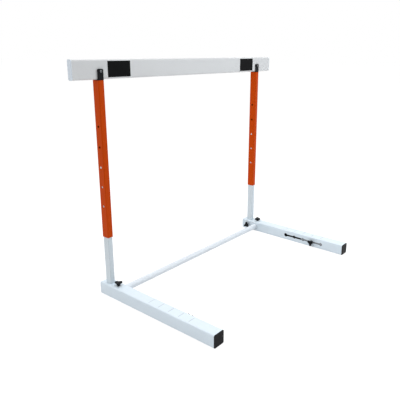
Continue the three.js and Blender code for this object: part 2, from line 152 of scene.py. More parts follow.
def in_scene(name: str, data: bpy.types.ID) -> bpy.types.Object:
    """An object in the scene that shows a mesh, a lamp or a camera.

    Args:
        name: The object's name.
        data: What it shows.

    Returns:
        The object, at the origin.
    """
    made = bpy.data.objects.new(name, data)
    bpy.context.scene.collection.objects.link(made)
    return made


class Blank:
    """A workpiece: a mesh that is shaped, cut and put in place before it becomes an object."""

    def __init__(self, mesh: bmesh.types.BMesh) -> None:
        """Takes over a mesh under construction."""
        self.mesh = mesh

    @classmethod
    def plate(cls, width: float, height: float, corner: float, steps: int = 8) -> Blank:
        """A flat face with rounded corners.

        Args:
            width: Its size along X.
            height: Its size along Y.
            corner: The radius of its corners.
            steps: How many edges make up each corner.

        Returns:
            The face, centred on the origin in the XY plane.
        """
        mesh = bmesh.new()
        bmesh.ops.create_grid(mesh, x_segments=1, y_segments=1, size=0.5)
        bmesh.ops.scale(mesh, vec=(width, height, 1.0), verts=mesh.verts)
        bmesh.ops.bevel(
            mesh,
            geom=mesh.verts[:],
            offset=corner,
            segments=steps,
            profile=ARC_PROFILE,
            affect="VERTICES",
            material=-1,
        )
        return cls(mesh)

    @classmethod
    def outline(cls, points: Sequence[tuple[float, float]]) -> Blank:
        """A flat face in the XY plane inside a closed outline."""
        mesh = bmesh.new()
        corners = [mesh.verts.new((x, y, 0.0)) for x, y in points]
        edges = [mesh.edges.new(ends) for ends in zip(corners, corners[1:] + corners[:1], strict=True)]
        bmesh.ops.edgeloop_fill(mesh, edges=edges)
        return cls(mesh)

    @classmethod
    def bar(cls, width: float, height: float, corner: float, length: float) -> Blank:
        """A solid bar along Z from the origin, with rounded long edges."""
        return cls.plate(width, height, corner).pulled(length)

    @classmethod
    def tube(cls, width: float, height: float, wall: float, corner: float, length: float) -> Blank:
        """A rectangular tube along Z from the origin, with rounded corners.

        Args:
            width: Its outer size along X.
            height: Its outer size along Y.
            wall: The thickness of its wall.
            corner: The outer radius of its corners.
            length: Its length.

        Returns:
            The tube.
        """
        return cls.plate(width, height, corner).hollowed(wall).pulled(length)

    @classmethod
    def turned(cls, profile: Sequence[tuple[float, float]], steps: int = 48, closed: bool = False) -> Blank:
        """A shape turned about Z on a lathe.

        Args:
            profile: Points of radius and height, from one end on the axis to the other.
            steps: How many steps go round.
            closed: Whether the profile's last point joins its first, off the axis.

        Returns:
            The closed shape.
        """
        mesh = bmesh.new()
        verts = [mesh.verts.new((radius, 0.0, height)) for radius, height in profile]
        ends = verts[1:] + verts[:1] if closed else verts[1:]
        edges = [mesh.edges.new(pair) for pair in zip(verts, ends)]
        bmesh.ops.spin(
            mesh,
            geom=verts + edges,
            cent=ORIGIN,
            axis=Z_AXIS,
            angle=2 * math.pi,
            steps=steps,
            use_merge=True,
        )
        return cls(mesh).welded()

    @classmethod
    def rod(cls, diameter: float, start: float, end: float, steps: int = 48) -> Blank:
        """A cylinder along Z between two heights."""
        radius = diameter / 2
        return cls.turned([(0.0, start), (radius, start), (radius, end), (0.0, end)], steps)

    @classmethod
    def pipe(cls, diameter: float, bore: float, start: float, end: float, steps: int = 72) -> Blank:
        """A round tube along Z between two heights."""
        outer, inner = diameter / 2, bore / 2
        return cls.turned([(inner, start), (outer, start), (outer, end), (inner, end)], steps, closed=True)

    @classmethod
    def threaded(cls, diameter: float, pitch: float, start: float, end: float, steps: int = 24) -> Blank:
        """A rod along Z with a helical thread and chamfered ends.

        Args:
            diameter: The thread's outer diameter.
            pitch: Its advance in one turn.
            start: The height of its lower end.
            end: The height of its upper end.
            steps: How many steps go round.

        Returns:
            The closed rod.
        """
        crest = diameter / 2
        depth = THREAD_DEPTH_SHARE * pitch
        turns = math.ceil((end - start) / pitch) + 2
        mesh = bmesh.new()
        verts = [
            mesh.verts.new((crest - sunk * depth, 0.0, start + (rise - 1) * pitch))
            for sunk, rise in THREAD_PROFILE
        ]
        edges = [mesh.edges.new(pair) for pair in zip(verts, verts[1:])]
        bmesh.ops.spin(
            mesh,
            geom=verts + edges,
            cent=ORIGIN,
            axis=Z_AXIS,
            dvec=(0.0, 0.0, pitch / steps),
            angle=2 * math.pi * turns,
            steps=steps * turns,
        )
        bmesh.ops.remove_doubles(mesh, verts=mesh.verts, dist=WELD_DISTANCE)
        for height, facing in ((start, -1.0), (end, 1.0)):
            bmesh.ops.bisect_plane(
                mesh,
                geom=mesh.verts[:] + mesh.edges[:] + mesh.faces[:],
                plane_co=(0.0, 0.0, height),
                plane_no=(0.0, 0.0, facing),
                clear_outer=True,
            )
        rims = [edge for edge in mesh.edges if edge.is_boundary]
        bmesh.ops.holes_fill(mesh, edges=rims, sides=0)
        sleeve = cls.turned([
            (0.0, start),
            (crest - depth, start),
            (crest, start + depth),
            (crest, end - depth),
            (crest - depth, end),
            (0.0, end),
        ])
        return cls(mesh).welded().combined(Joining.KEEP_INSIDE, sleeve)

    def welded(self) -> Blank:
        """Joins vertices that lie on each other and turns every face outwards."""
        bmesh.ops.remove_doubles(self.mesh, verts=self.mesh.verts, dist=WELD_DISTANCE)
        bmesh.ops.recalc_face_normals(self.mesh, faces=self.mesh.faces)
        return self

    def hollowed(self, wall: float) -> Blank:
        """Makes a flat face a ring of the given width."""
        mesh, inner = self.mesh, self.mesh.faces[:]
        bmesh.ops.inset_region(mesh, faces=inner, thickness=wall, use_even_offset=True, use_boundary=True)
        bmesh.ops.delete(mesh, geom=inner, context="FACES")
        return self

    def pulled(self, length: float) -> Blank:
        """Makes flat faces a closed solid that reaches up along Z."""
        self.draw_out(self.mesh.faces[:], (0.0, 0.0, length))
        return self.welded()

    def draw_out(self, faces: Sequence[bmesh.types.BMFace], travel: Point) -> None:
        """Moves faces away from where they are, and closes what opens behind them."""
        grown = bmesh.ops.extrude_face_region(self.mesh, geom=faces)
        moved = [item for item in grown["geom"] if isinstance(item, bmesh.types.BMVert)]
        bmesh.ops.translate(self.mesh, vec=travel, verts=moved)

    def stepped(self, normal: Point, inset: float, depth: float) -> Blank:
        """Pushes or pulls the middle of the outermost flat face, as a plug or a recess.

        Args:
            normal: The way that the face looks.
            inset: How far the middle stays from the face's edge.
            depth: How far it is pulled along the normal, or pushed in where negative.

        Returns:
            This workpiece.
        """
        direction = Vector(normal)
        facing = [face for face in self.mesh.faces if face.normal.dot(direction) > math.cos(FLAT_ANGLE)]

        def rank(item: bmesh.types.BMFace) -> tuple[float, float]:
            """How far out a face lies, and then how large it is."""
            return round(item.calc_center_median().dot(direction), PLACE_DIGITS), item.calc_area()

        face = max(facing, key=rank)
        bmesh.ops.inset_region(self.mesh, faces=[face], thickness=inset, use_even_offset=True)
        self.draw_out([face], direction * depth)
        if face.is_valid:
            bmesh.ops.delete(self.mesh, geom=[face], context="FACES_ONLY")
        return self.welded()

    def placed(self, matrix: Matrix) -> Blank:
        """Moves this workpiece by a transform."""
        bmesh.ops.transform(self.mesh, matrix=matrix, verts=self.mesh.verts)
        return self

    def combined(self, joining: Joining, *tools: Blank) -> Blank:
        """Joins other workpieces on, cuts them out or keeps what lies inside them, one after another.

        Args:
            joining: Which of these is done.
            tools: The other workpieces, which are used up.

        Returns:
            This workpiece.
        """
        body = self.shown("scratch")
        helpers = [tool.shown("scratch") for tool in tools]
        for helper in helpers:
            modifier = body.modifiers.new(name=joining.name, type="BOOLEAN")
            modifier.operation = joining.value
            modifier.solver = "EXACT"
            modifier.use_self = joining is Joining.JOIN
            modifier.object = helper
        self.read_back(body)
        for used in [body, *helpers]:
            bpy.data.meshes.remove(used.data)
        mesh = self.welded().mesh
        bmesh.ops.dissolve_limit(mesh, angle_limit=FLAT_ANGLE, verts=mesh.verts, edges=mesh.edges)
        return self

    def cut(self, *tools: Blank) -> Blank:
        """Cuts other workpieces out of this one."""
        return self.combined(Joining.CUT, *tools)

    def joined(self, *others: Blank) -> Blank:
        """Joins other workpieces to this one."""
        return self.combined(Joining.JOIN, *others)

    def moulded(self, grain: float, passes: int) -> Blank:
        """Melts the shape into one soft skin, as a moulded part has.

        Args:
            grain: The size of the skin's facets.
            passes: How many times the skin is smoothed.

        Returns:
            This workpiece.
        """
        body = self.shown("scratch")
        modifier = body.modifiers.new(name="skin", type="REMESH")
        modifier.mode = "VOXEL"
        modifier.voxel_size = grain
        self.read_back(body)
        bpy.data.meshes.remove(body.data)
        for _ in range(passes):
            bmesh.ops.smooth_vert(
                self.mesh,
                verts=self.mesh.verts,
                factor=SMOOTHING,
                use_axis_x=True,
                use_axis_y=True,
                use_axis_z=True,
            )
        return self

    def eased(
        self, radius: float, segments: int = 2, where: Callable[[Vector], bool] | None = None
    ) -> Blank:
        """Rounds the sharp edges.

        Args:
            radius: How far the rounding reaches from an edge.
            segments: How many faces make up the rounding.
            where: A test of a place, where only the edges with both ends in such places are rounded.

        Returns:
            This workpiece.
        """
        closed = [edge for edge in self.mesh.edges if edge.is_manifold]
        edges = [edge for edge in closed if edge.calc_face_angle() > SHARP_ANGLE]
        if where is not None:
            edges = [edge for edge in edges if all(where(vert.co) for vert in edge.verts)]
        bmesh.ops.bevel(
            self.mesh,
            geom=edges,
            offset=radius,
            segments=segments,
            profile=ARC_PROFILE,
            affect="EDGES",
            clamp_overlap=False,
            material=-1,
        )
        return self

    def shown(self, name: str) -> bpy.types.Object:
        """An object in the scene with this workpiece's mesh."""
        data = bpy.data.meshes.new(name)
        self.mesh.to_mesh(data)
        return in_scene(name, data)

    def read_back(self, scratch: bpy.types.Object) -> None:
        """Takes the mesh that a passing object's modifiers made."""
        graph = bpy.context.evaluated_depsgraph_get()
        self.mesh.free()
        self.mesh = bmesh.new()
        self.mesh.from_object(scratch, graph)

    def piece(self, name: str) -> bpy.types.Object:
        """Makes the finished object, with smooth curves and crisp edges.

        Args:
            name: The object's name.

        Returns:
            The object, at the origin, with its place in its mesh.
        """
        made = self.shown(name)
        self.mesh.free()
        made.data.shade_smooth()
        made.data.set_sharp_from_angle(angle=SHARP_ANGLE)
        weighted = made.modifiers.new(name="flat faces stay flat", type="WEIGHTED_NORMAL")
        weighted.keep_sharp = True
        return made


# Finishes


def linear(code: str) -> Colour:
    """The scene colour of a screen colour, which is given by its six hexadecimal digits."""
    channels = [level / FULL_CHANNEL for level in bytes.fromhex(code)]
    return (*Color(channels).from_srgb_to_scene_linear(), 1.0)


def shaded(colour: Point, factor: float) -> Colour:
    """A colour made darker or lighter by a factor."""
    return (colour[0] * factor, colour[1] * factor, colour[2] * factor, 1.0)


@dataclass(frozen=True)
class Cloud:
    """A cloudy pattern: its spots' rough size, its finer layers, and how much finer it is along each axis."""

    size: float
    detail: float = 2.0
    stretch: Point = (1.0, 1.0, 1.0)


class NodeSheet:
    """The nodes of a material or of the sky, which are added and joined through it."""

    def __init__(self, owner: bpy.types.Material | bpy.types.World) -> None:
        """Starts from the owner's plain nodes."""
        owner.use_nodes = True
        self.tree = owner.node_tree

    def feed(self, socket: bpy.types.NodeSocket, value: SocketValue) -> None:
        """Joins another node's output to a socket, or sets the socket's own value."""
        if isinstance(value, bpy.types.NodeSocket):
            self.tree.links.new(value, socket)
        else:
            socket.default_value = value

    def add(self, kind: str, inputs: Mapping[str | int, SocketValue], **settings: object) -> bpy.types.Node:
        """Adds a node.

        Args:
            kind: The node's type.
            inputs: Values or outputs of other nodes, by the input's name or number.
            **settings: The node's own settings.

        Returns:
            The node.
        """
        node = self.tree.nodes.new(kind)
        for key, value in settings.items():
            setattr(node, key, value)
        for key, value in inputs.items():
            self.feed(node.inputs[key], value)
        return node

    def set(self, **values: SocketValue) -> None:
        """Sets the material shader's inputs, named in lower case with underscores."""
        shader = self.tree.nodes["Principled BSDF"]
        sockets = {socket.name.lower().replace(" ", "_"): socket for socket in shader.inputs}
        for key, value in values.items():
            self.feed(sockets[key], value)

    def place(self, stretch: Point = (1.0, 1.0, 1.0)) -> bpy.types.NodeSocket:
        """The place on the piece, in its own frame, stretched along each axis."""
        coordinates = self.add("ShaderNodeTexCoord", {})
        mapping = self.add("ShaderNodeMapping", {"Vector": coordinates.outputs["Object"], "Scale": stretch})
        return mapping.outputs["Vector"]

    def cloud(self, pattern: Cloud) -> bpy.types.NodeSocket:
        """The value of a cloudy pattern, from 0 to 1."""
        inputs = {
            "Vector": self.place(pattern.stretch),
            "Scale": 1 / pattern.size,
            "Detail": pattern.detail,
            "Roughness": CLOUD_ROUGHNESS,
        }
        return self.add("ShaderNodeTexNoise", inputs).outputs["Fac"]

    def cells(self, size: float) -> bpy.types.NodeSocket:
        """A pattern of rounded cells of about the given size, with 0 in each cell's middle."""
        inputs = {"Vector": self.place(), "Scale": 1 / size}
        return self.add("ShaderNodeTexVoronoi", inputs, feature="SMOOTH_F1").outputs["Distance"]

    def between(self, value: bpy.types.NodeSocket, low: float, high: float) -> bpy.types.NodeSocket:
        """A pattern's middle stretch spread from one value to another."""
        start, end = CLOUD_MIDDLE
        inputs = {"Value": value, "From Min": start, "From Max": end, "To Min": low, "To Max": high}
        return self.add("ShaderNodeMapRange", inputs).outputs["Result"]

    def ramp(self, value: bpy.types.NodeSocket, *stops: tuple[float, Point]) -> bpy.types.NodeSocket:
        """A pattern's value turned into colour.

        Args:
            value: The pattern.
            *stops: Places from 0 to 1 and the colour at each.

        Returns:
            The colour.
        """
        node = self.add("ShaderNodeValToRGB", {"Fac": value})
        elements = node.color_ramp.elements
        while len(elements) < len(stops):
            elements.new(1.0)
        for element, (place, colour) in zip(elements, stops):
            element.position = place
            element.color = colour
        return node.outputs["Color"]

    def tint(self, value: bpy.types.NodeSocket, colour: Colour, shades: Shades) -> bpy.types.NodeSocket:
        """A colour that a pattern makes darker and lighter.

        Args:
            value: The pattern.
            colour: The colour.
            shades: Places from 0 to 1 and the factor that the colour has at each.

        Returns:
            The shaded colour.
        """
        return self.ramp(value, *[(place, shaded(colour, factor)) for place, factor in shades])

    def relief(
        self,
        height: bpy.types.NodeSocket,
        depth: float,
        strength: float,
        under: bpy.types.NodeSocket | None = None,
    ) -> bpy.types.NodeSocket:
        """Fine relief from a pattern.

        Args:
            height: The pattern.
            depth: How deep the relief is, in metres.
            strength: How strongly it shows, up to 1.
            under: Coarser relief that this one lies on.

        Returns:
            The surface's normal.
        """
        inputs: dict[str, SocketValue] = {"Height": height, "Distance": depth, "Strength": strength}
        if under is not None:
            inputs["Normal"] = under
        return self.add("ShaderNodeBump", inputs).outputs["Normal"]


@dataclass(frozen=True)
class Finish:
    """What a piece's surface is made of, with the material slot that it belongs to."""

    name: str
    slot: str
    colour: Colour

    def material(self) -> bpy.types.Material:
        """The finish's material, which all its pieces share."""
        known = bpy.data.materials.get(self.name)
        if known is not None:
            return known
        made = bpy.data.materials.new(self.name)
        self.draw(NodeSheet(made))
        return made

    def draw(self, sheet: NodeSheet) -> None:
        """Fills in the material's nodes."""
        raise NotImplementedError


@dataclass(frozen=True)
class PowderCoat(Finish):
    """Powder paint, baked on steel, with the slightly uneven skin that it flows out to."""

    tone: Cloud = Cloud(120 * MILLIMETRE, detail=3.0)
    shades: Shades = ((0.3, 0.96), (0.7, 1.0))
    speck: Cloud = Cloud(0.6 * MILLIMETRE, detail=1.0)
    roughness: Spread = (0.3, 0.42)
    ripple: Cloud = Cloud(2.2 * MILLIMETRE)
    ripple_depth: float = 0.02 * MILLIMETRE
    ripple_strength: float = 0.6
    shine: float = 0.5
    coat_share: float = 0.2
    coat_roughness: float = 0.18

    def draw(self, sheet: NodeSheet) -> None:
        """Paint that varies a little in tone, with soft ripples and a thin glossy top."""
        sheet.set(
            base_color=sheet.tint(sheet.cloud(self.tone), self.colour, self.shades),
            roughness=sheet.between(sheet.cloud(self.speck), *self.roughness),
            normal=sheet.relief(sheet.cloud(self.ripple), self.ripple_depth, self.ripple_strength),
            specular_ior_level=self.shine,
            coat_weight=self.coat_share,
            coat_roughness=self.coat_roughness,
        )


@dataclass(frozen=True)
class MouldedPlastic(Finish):
    """Black moulded plastic with a fine spark-eroded grain."""

    tone: Cloud = Cloud(14 * MILLIMETRE, detail=4.0)
    shades: Shades = ((0.35, 0.75), (0.75, 1.3))
    roughness: Spread = (0.44, 0.58)
    grain_size: float = 0.45 * MILLIMETRE
    grain_depth: float = 0.03 * MILLIMETRE
    grain_strength: float = 0.5
    shine: float = 0.09

    def draw(self, sheet: NodeSheet) -> None:
        """Plastic that scuffs to grey in places, over its grain."""
        tone = sheet.cloud(self.tone)
        sheet.set(
            base_color=sheet.tint(tone, self.colour, self.shades),
            roughness=sheet.between(tone, *self.roughness),
            normal=sheet.relief(sheet.cells(self.grain_size), self.grain_depth, self.grain_strength),
            specular_ior_level=self.shine,
        )


@dataclass(frozen=True)
class ExtrudedPlastic(Finish):
    """White plastic pushed through a die, with faint lines along the bar."""

    tone: Cloud = Cloud(160 * MILLIMETRE)
    shades: Shades = ((0.3, 0.97), (0.7, 1.0))
    lines: Cloud = Cloud(5 * MILLIMETRE, detail=4.0, stretch=(0.012, 1.0, 1.0))
    roughness: Spread = (0.32, 0.42)
    line_depth: float = 0.05 * MILLIMETRE
    line_strength: float = 0.5
    mist: Cloud = Cloud(0.8 * MILLIMETRE)
    mist_depth: float = 0.01 * MILLIMETRE
    mist_strength: float = 0.4
    shine: float = 0.45

    def draw(self, sheet: NodeSheet) -> None:
        """Plastic with die lines along X and a slow change of tone."""
        lines = sheet.cloud(self.lines)
        mist = sheet.relief(sheet.cloud(self.mist), self.mist_depth, self.mist_strength)
        sheet.set(
            base_color=sheet.tint(sheet.cloud(self.tone), self.colour, self.shades),
            roughness=sheet.between(lines, *self.roughness),
            normal=sheet.relief(lines, self.line_depth, self.line_strength, under=mist),
            specular_ior_level=self.shine,
        )


@dataclass(frozen=True)
class Film(Finish):
    """Thin printed film, stuck on."""

    waves: Cloud = Cloud(22 * MILLIMETRE)
    shades: Shades = ((0.3, 0.85), (0.7, 1.15))
    mist: Cloud = Cloud(0.5 * MILLIMETRE, detail=1.0)
    roughness: Spread = (0.36, 0.46)
    wave_depth: float = 0.08 * MILLIMETRE
    wave_strength: float = 0.4
    shine: float = 0.03

    def draw(self, sheet: NodeSheet) -> None:
        """Film that follows the faint waves of what it sticks to."""
        waves = sheet.cloud(self.waves)
        sheet.set(
            base_color=sheet.tint(waves, self.colour, self.shades),
            roughness=sheet.between(sheet.cloud(self.mist), *self.roughness),
            normal=sheet.relief(waves, self.wave_depth, self.wave_strength),
            specular_ior_level=self.shine,
        )


@dataclass(frozen=True)
class PlatedSteel(Finish):
    """Zinc plating, with the faint blotches that its bath leaves."""

    blotches: Cloud = Cloud(3 * MILLIMETRE, detail=3.0)
    blotch_stops: Spread = (0.35, 0.65)
    warm_tint: Point = (1.0, 0.98, 0.92)
    roughness: Spread = (0.26, 0.4)
    scratches: Cloud = Cloud(0.25 * MILLIMETRE, stretch=(1.0, 1.0, 0.08))
    scratch_depth: float = 0.008 * MILLIMETRE
    scratch_strength: float = 0.5

    def draw(self, sheet: NodeSheet) -> None:
        """Smooth metal with warmer blotches and fine scratches."""
        red, green, blue = (level * share for level, share in zip(self.colour, self.warm_tint))
        warm_at, plain_at = self.blotch_stops
        blotches = sheet.cloud(self.blotches)
        sheet.set(
            base_color=sheet.ramp(blotches, (warm_at, (red, green, blue, 1.0)), (plain_at, self.colour)),
            metallic=1.0,
            roughness=sheet.between(blotches, *self.roughness),
            normal=sheet.relief(sheet.cloud(self.scratches), self.scratch_depth, self.scratch_strength),
        )


@dataclass(frozen=True)
class MillSteel(Finish):
    """Steel as it comes from the mill, with darker oxide on it."""

    scale: Cloud = Cloud(9 * MILLIMETRE, detail=5.0)
    shades: Shades = ((0.35, 0.55), (0.55, 1.0), (0.75, 1.1))
    metal: Spread = (0.7, 0.9)
    roughness: Spread = (0.55, 0.4)
    lines: Cloud = Cloud(0.7 * MILLIMETRE, detail=3.0, stretch=(1.0, 0.06, 1.0))
    line_depth: float = 0.02 * MILLIMETRE
    line_strength: float = 0.5

    def draw(self, sheet: NodeSheet) -> None:
        """Grey steel with patches of oxide and lines along the bar's length."""
        scale = sheet.cloud(self.scale)
        sheet.set(
            base_color=sheet.tint(scale, self.colour, self.shades),
            metallic=sheet.between(scale, *self.metal),
            roughness=sheet.between(scale, *self.roughness),
            normal=sheet.relief(sheet.cloud(self.lines), self.line_depth, self.line_strength),
        )


@dataclass(frozen=True)
class Ink(Finish):
    """Matte ink in a pressed mark."""

    cover: Cloud = Cloud(1.5 * MILLIMETRE, detail=3.0)
    shades: Shades = ((0.3, 1.0), (0.75, 1.2))
    roughness: Spread = (0.6, 0.75)

    def draw(self, sheet: NodeSheet) -> None:
        """Ink that covers unevenly."""
        cover = sheet.cloud(self.cover)
        sheet.set(
            base_color=sheet.tint(cover, self.colour, self.shades),
            roughness=sheet.between(cover, *self.roughness),
        )


WHITE_PAINT = PowderCoat("white powder coat", "white_paint", linear("dfecf6"))
PALE_PAINT = PowderCoat("pale grey powder coat", "white_paint", linear("d8e3ea"))
NEUTRAL_PAINT = PowderCoat("neutral white powder coat", "white_paint", linear("e3eaf1"))
ORANGE_PAINT = PowderCoat("orange powder coat", "orange_paint", linear("cc4702"), shine=0.06, coat_share=0.0)
BAR_PLASTIC = ExtrudedPlastic("white bar plastic", "bar_white", linear("dbdcdd"))
# Painted light: the caps' plastic is the bar's white plastic made lighter and bluer, standing in for the
# bluish light that falls on the crossbar's ends. The runners' rear caps take the same plastic.
LIT_CAP_PLASTIC = ExtrudedPlastic("white cap plastic", "bar_white", linear("e2ecf6"))
BLACK_FILM = Film("black film", "band_black", linear("0f0f10"))
BLACK_PLASTIC = MouldedPlastic("black moulded plastic", "black_plastic", linear("131316"))
KNOB_PLASTIC = MouldedPlastic("black knob plastic", "black_plastic", linear("121316"), roughness=(0.36, 0.5))
ZINC = PlatedSteel("bright zinc", "zinc_steel", linear("c4c7ca"))
DARK_ZINC = PlatedSteel("dark zinc", "zinc_steel", linear("6c6f73"), roughness=(0.3, 0.44))
MILL_STEEL = MillSteel("mill steel", "bare_steel", linear("8e9297"))
MARK_INK = Ink("grey mark ink", "white_paint", linear("bcc5cb"))
BARE_INSIDE = MillSteel("oxidised inside", "white_paint", linear("4a4c50"))


# Sub-assemblies


@dataclass(frozen=True)
class KnobTurns:
    """How far the knobs of one side are turned, in degrees."""

    cross: float
    post: float
    weight: float


KNOB_TURNS = {
    Side.LEFT: KnobTurns(cross=-16.0, post=12.0, weight=0.0),
    Side.RIGHT: KnobTurns(cross=38.0, post=2.0, weight=-54.0),
}


@dataclass(frozen=True)
class Box:
    """The space that a node takes up at rest."""

    low: Vector
    high: Vector

    @classmethod
    def of(cls, node: str) -> Box:
        """The box of a node of the frame."""
        return cls(*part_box(node))

    @property
    def size(self) -> Vector:
        """Its length along each axis."""
        return self.high - self.low

    @property
    def middle(self) -> Vector:
        """Its centre."""
        return (self.low + self.high) / 2


@dataclass
class Assembly:
    """What the sub-assemblies share: they put finished pieces in their nodes' places."""

    nodes: Mapping[str, bpy.types.Object]

    def stand_in(self, blank: Blank, node: str, finish: Finish, *further: Finish) -> None:
        """Makes a workpiece the finished piece that shows in place of a node.

        Args:
            blank: The workpiece.
            node: The node that it stands for.
            finish: Its finish.
            *further: Finishes of the faces that name them by number.
        """
        made = blank.piece(f"{node}_finished")
        for layer in (finish, *further):
            made.data.materials.append(layer.material())
        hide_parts(node)
        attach(made, self.nodes[node]["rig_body"])
        log.info("%s: %d faces in %s", made.name, len(made.data.polygons), finish.name)

    def dress(self, node: str, finish: Finish) -> None:
        """Gives a node that stays as it is a finish."""
        for slot in self.nodes[node].material_slots:
            slot.material = finish.material()
        log.info("%s: kept, in %s", node, finish.name)


@dataclass
class SideAssembly(Assembly):
    """A sub-assembly that the hurdle has on its left and on its right."""

    side: Side

    @property
    def inward(self) -> Pointing:
        """The direction to the hurdle's middle."""
        return Pointing.RIGHT if self.side is Side.LEFT else Pointing.LEFT

    def box(self, piece: str) -> Box:
        """The box of this side's node for a piece."""
        return Box.of(self.side.node(piece))

    def finished(self, blank: Blank, piece: str, finish: Finish, *further: Finish) -> None:
        """Makes a workpiece the finished piece in place of this side's node, as stand_in does."""
        self.stand_in(blank, self.side.node(piece), finish, *further)


@dataclass(frozen=True)
class EndCap:
    """A plastic cap: a flange over a tube's end, and a hollow plug inside the tube."""

    width: float
    height: float
    corner: float
    flange: float
    edge: float
    plug_inset: float
    plug_depth: float
    plug_wall: float
    edge_segments: int = 4

    def blank(self) -> Blank:
        """The cap's workpiece, which looks up from the tube's end at the origin."""
        down = (0.0, 0.0, -1.0)
        flange = Blank.bar(self.width, self.height, self.corner, self.flange)
        flange.eased(self.edge, self.edge_segments, where=lambda place: place.z > self.flange / 2)
        flange.stepped(down, self.plug_inset, self.plug_depth)
        return flange.stepped(down, self.plug_wall, -self.plug_depth)


@dataclass
class Runner(SideAssembly):
    """A floor runner: its square tube, end caps and what is welded inside it."""

    wall: float = 2 * MILLIMETRE
    corner: float = 5 * MILLIMETRE
    hole_play: float = 0.4 * MILLIMETRE
    cut_edge: float = 0.35 * MILLIMETRE
    post_corner: float = 3 * MILLIMETRE
    slot_height: float = 9 * MILLIMETRE
    slot_corner: float = 0.5 * MILLIMETRE
    station_hole: float = 16 * MILLIMETRE
    entry_hole: float = 18.5 * MILLIMETRE
    station_step: float = 50 * MILLIMETRE
    stations_ahead: int = 1
    stations_behind: int = 3
    mark_length: float = 31 * MILLIMETRE
    mark_width: float = 3.2 * MILLIMETRE
    mark_depth: float = 0.3 * MILLIMETRE
    mark_corner_share: float = 1 / 3
    mark_level_play: float = 0.03 * MILLIMETRE
    mark_behind_station: float = 9 * MILLIMETRE
    mark_layer: int = 1
    inside_layer: int = 2
    bare_wall_share: float = 0.9
    cap_edge: float = 1 * MILLIMETRE
    cap_play: float = 0.3 * MILLIMETRE
    cap_plug_wall: float = 2 * MILLIMETRE

    def build(self) -> None:
        """Makes the runner's pieces."""
        box = self.box("runner")
        tube = self.square_tube(box)
        self.mark_faces(tube, box)
        self.finished(tube, "runner", WHITE_PAINT, MARK_INK, BARE_INSIDE)
        for piece, pointing, finish in (
            ("runner_front_cap", Pointing.FRONT, BLACK_PLASTIC),
            # The rear cap shares the crossbar caps' plastic, which has painted light in its lighter, bluer
            # colour.
            ("runner_rear_cap", Pointing.REAR, LIT_CAP_PLASTIC),
        ):
            self.finished(self.end_cap(box, piece, pointing), piece, finish)
        for piece in ("post_socket", "post_clamp_nut", "cross_clamp_nut", "cross_tube_spigot"):
            self.dress(self.side.node(piece), MILL_STEEL)

    def station_places(self) -> list[float]:
        """The Y of each station of the counterweight, from the front to the rear."""
        held = self.box("counterweight_stud").middle.y
        indices = range(-self.stations_ahead, self.stations_behind + 1)
        return [held + index * self.station_step for index in indices]

    def square_tube(self, box: Box) -> Blank:
        """The tube with its openings and pressed marks."""
        half = box.size.x / 2
        depth = half - 2 * self.wall
        reach = half + CUT_OVERRUN
        post = self.box("post")
        cross_tube = Box.of("cross_tube")
        post_stud = self.box("post_clamp_stud")
        cross_stud = self.box("cross_clamp_stud")
        stations = self.station_places()

        tube = Blank.tube(box.size.x, box.size.z, self.wall, self.corner, box.size.y)
        tube.placed(Pointing.REAR.at((box.middle.x, box.low.y, box.middle.z)))

        def side_hole(diameter: float, y: float) -> Blank:
            """A cutter for a round hole in the inner side wall."""
            return Blank.rod(diameter, depth, reach).placed(self.inward.at((box.middle.x, y, box.middle.z)))

        hole_width = post.size.x + 2 * self.hole_play
        hole_depth = post.size.y + 2 * self.hole_play
        post_hole = Blank.bar(hole_width, hole_depth, self.post_corner, reach - depth)
        stud_hole = Blank.rod(cross_stud.size.x + 2 * self.hole_play, depth, reach)
        slot = Blank.bar(self.slot_height, stations[-1] - stations[0], self.slot_corner, reach - depth)
        slot_middle = (stations[-1] + stations[0]) / 2
        slot_start = box.middle.x + self.side.inward * depth
        tube.cut(
            post_hole.placed(Pointing.UP.at((post.middle.x, post.middle.y, box.middle.z + depth))),
            stud_hole.placed(Pointing.UP.at((box.middle.x, cross_stud.middle.y, box.middle.z))),
            side_hole(cross_tube.size.y + 2 * self.hole_play, cross_tube.middle.y),
            side_hole(post_stud.size.y + 2 * self.hole_play, post_stud.middle.y),
            slot.placed(self.inward.at((slot_start, slot_middle, box.middle.z))),
            side_hole(self.entry_hole, stations[-1]),
            *[side_hole(self.station_hole, y) for y in stations[:-1]],
        )
        tube.eased(self.cut_edge)
        marks = []
        for y in stations:
            corner = self.mark_width * self.mark_corner_share
            mark = Blank.bar(self.mark_length, self.mark_width, corner, CUT_OVERRUN)
            place = (box.middle.x, y + self.mark_behind_station, box.high.z - self.mark_depth)
            marks.append(mark.placed(Pointing.UP.at(place)))
        return tube.cut(*marks)

    def mark_faces(self, tube: Blank, box: Box) -> None:
        """Gives the bottoms of the pressed marks the second finish, and the tube's inside the third."""
        bottom = box.high.z - self.mark_depth
        inside = box.size.x / 2 - self.wall * self.bare_wall_share
        for face in tube.mesh.faces:
            middle = face.calc_center_median()
            from_axis = max(abs(middle.x - box.middle.x), abs(middle.z - box.middle.z))
            if abs(middle.z - bottom) < self.mark_level_play:
                face.material_index = self.mark_layer
            elif from_axis < inside:
                face.material_index = self.inside_layer

    def end_cap(self, box: Box, piece: str, pointing: Pointing) -> Blank:
        """The cap of one of the tube's ends."""
        cap = self.box(piece)
        end_y = box.low.y if pointing is Pointing.FRONT else box.high.y
        flange = cap.high.y - end_y if pointing is Pointing.REAR else end_y - cap.low.y
        blank = EndCap(
            width=cap.size.x,
            height=cap.size.z,
            corner=self.corner,
            flange=flange,
            edge=self.cap_edge,
            plug_inset=self.wall + self.cap_play,
            plug_depth=cap.size.y - flange,
            plug_wall=self.cap_plug_wall,
        ).blank()
        return blank.placed(pointing.at((box.middle.x, end_y, box.middle.z)))


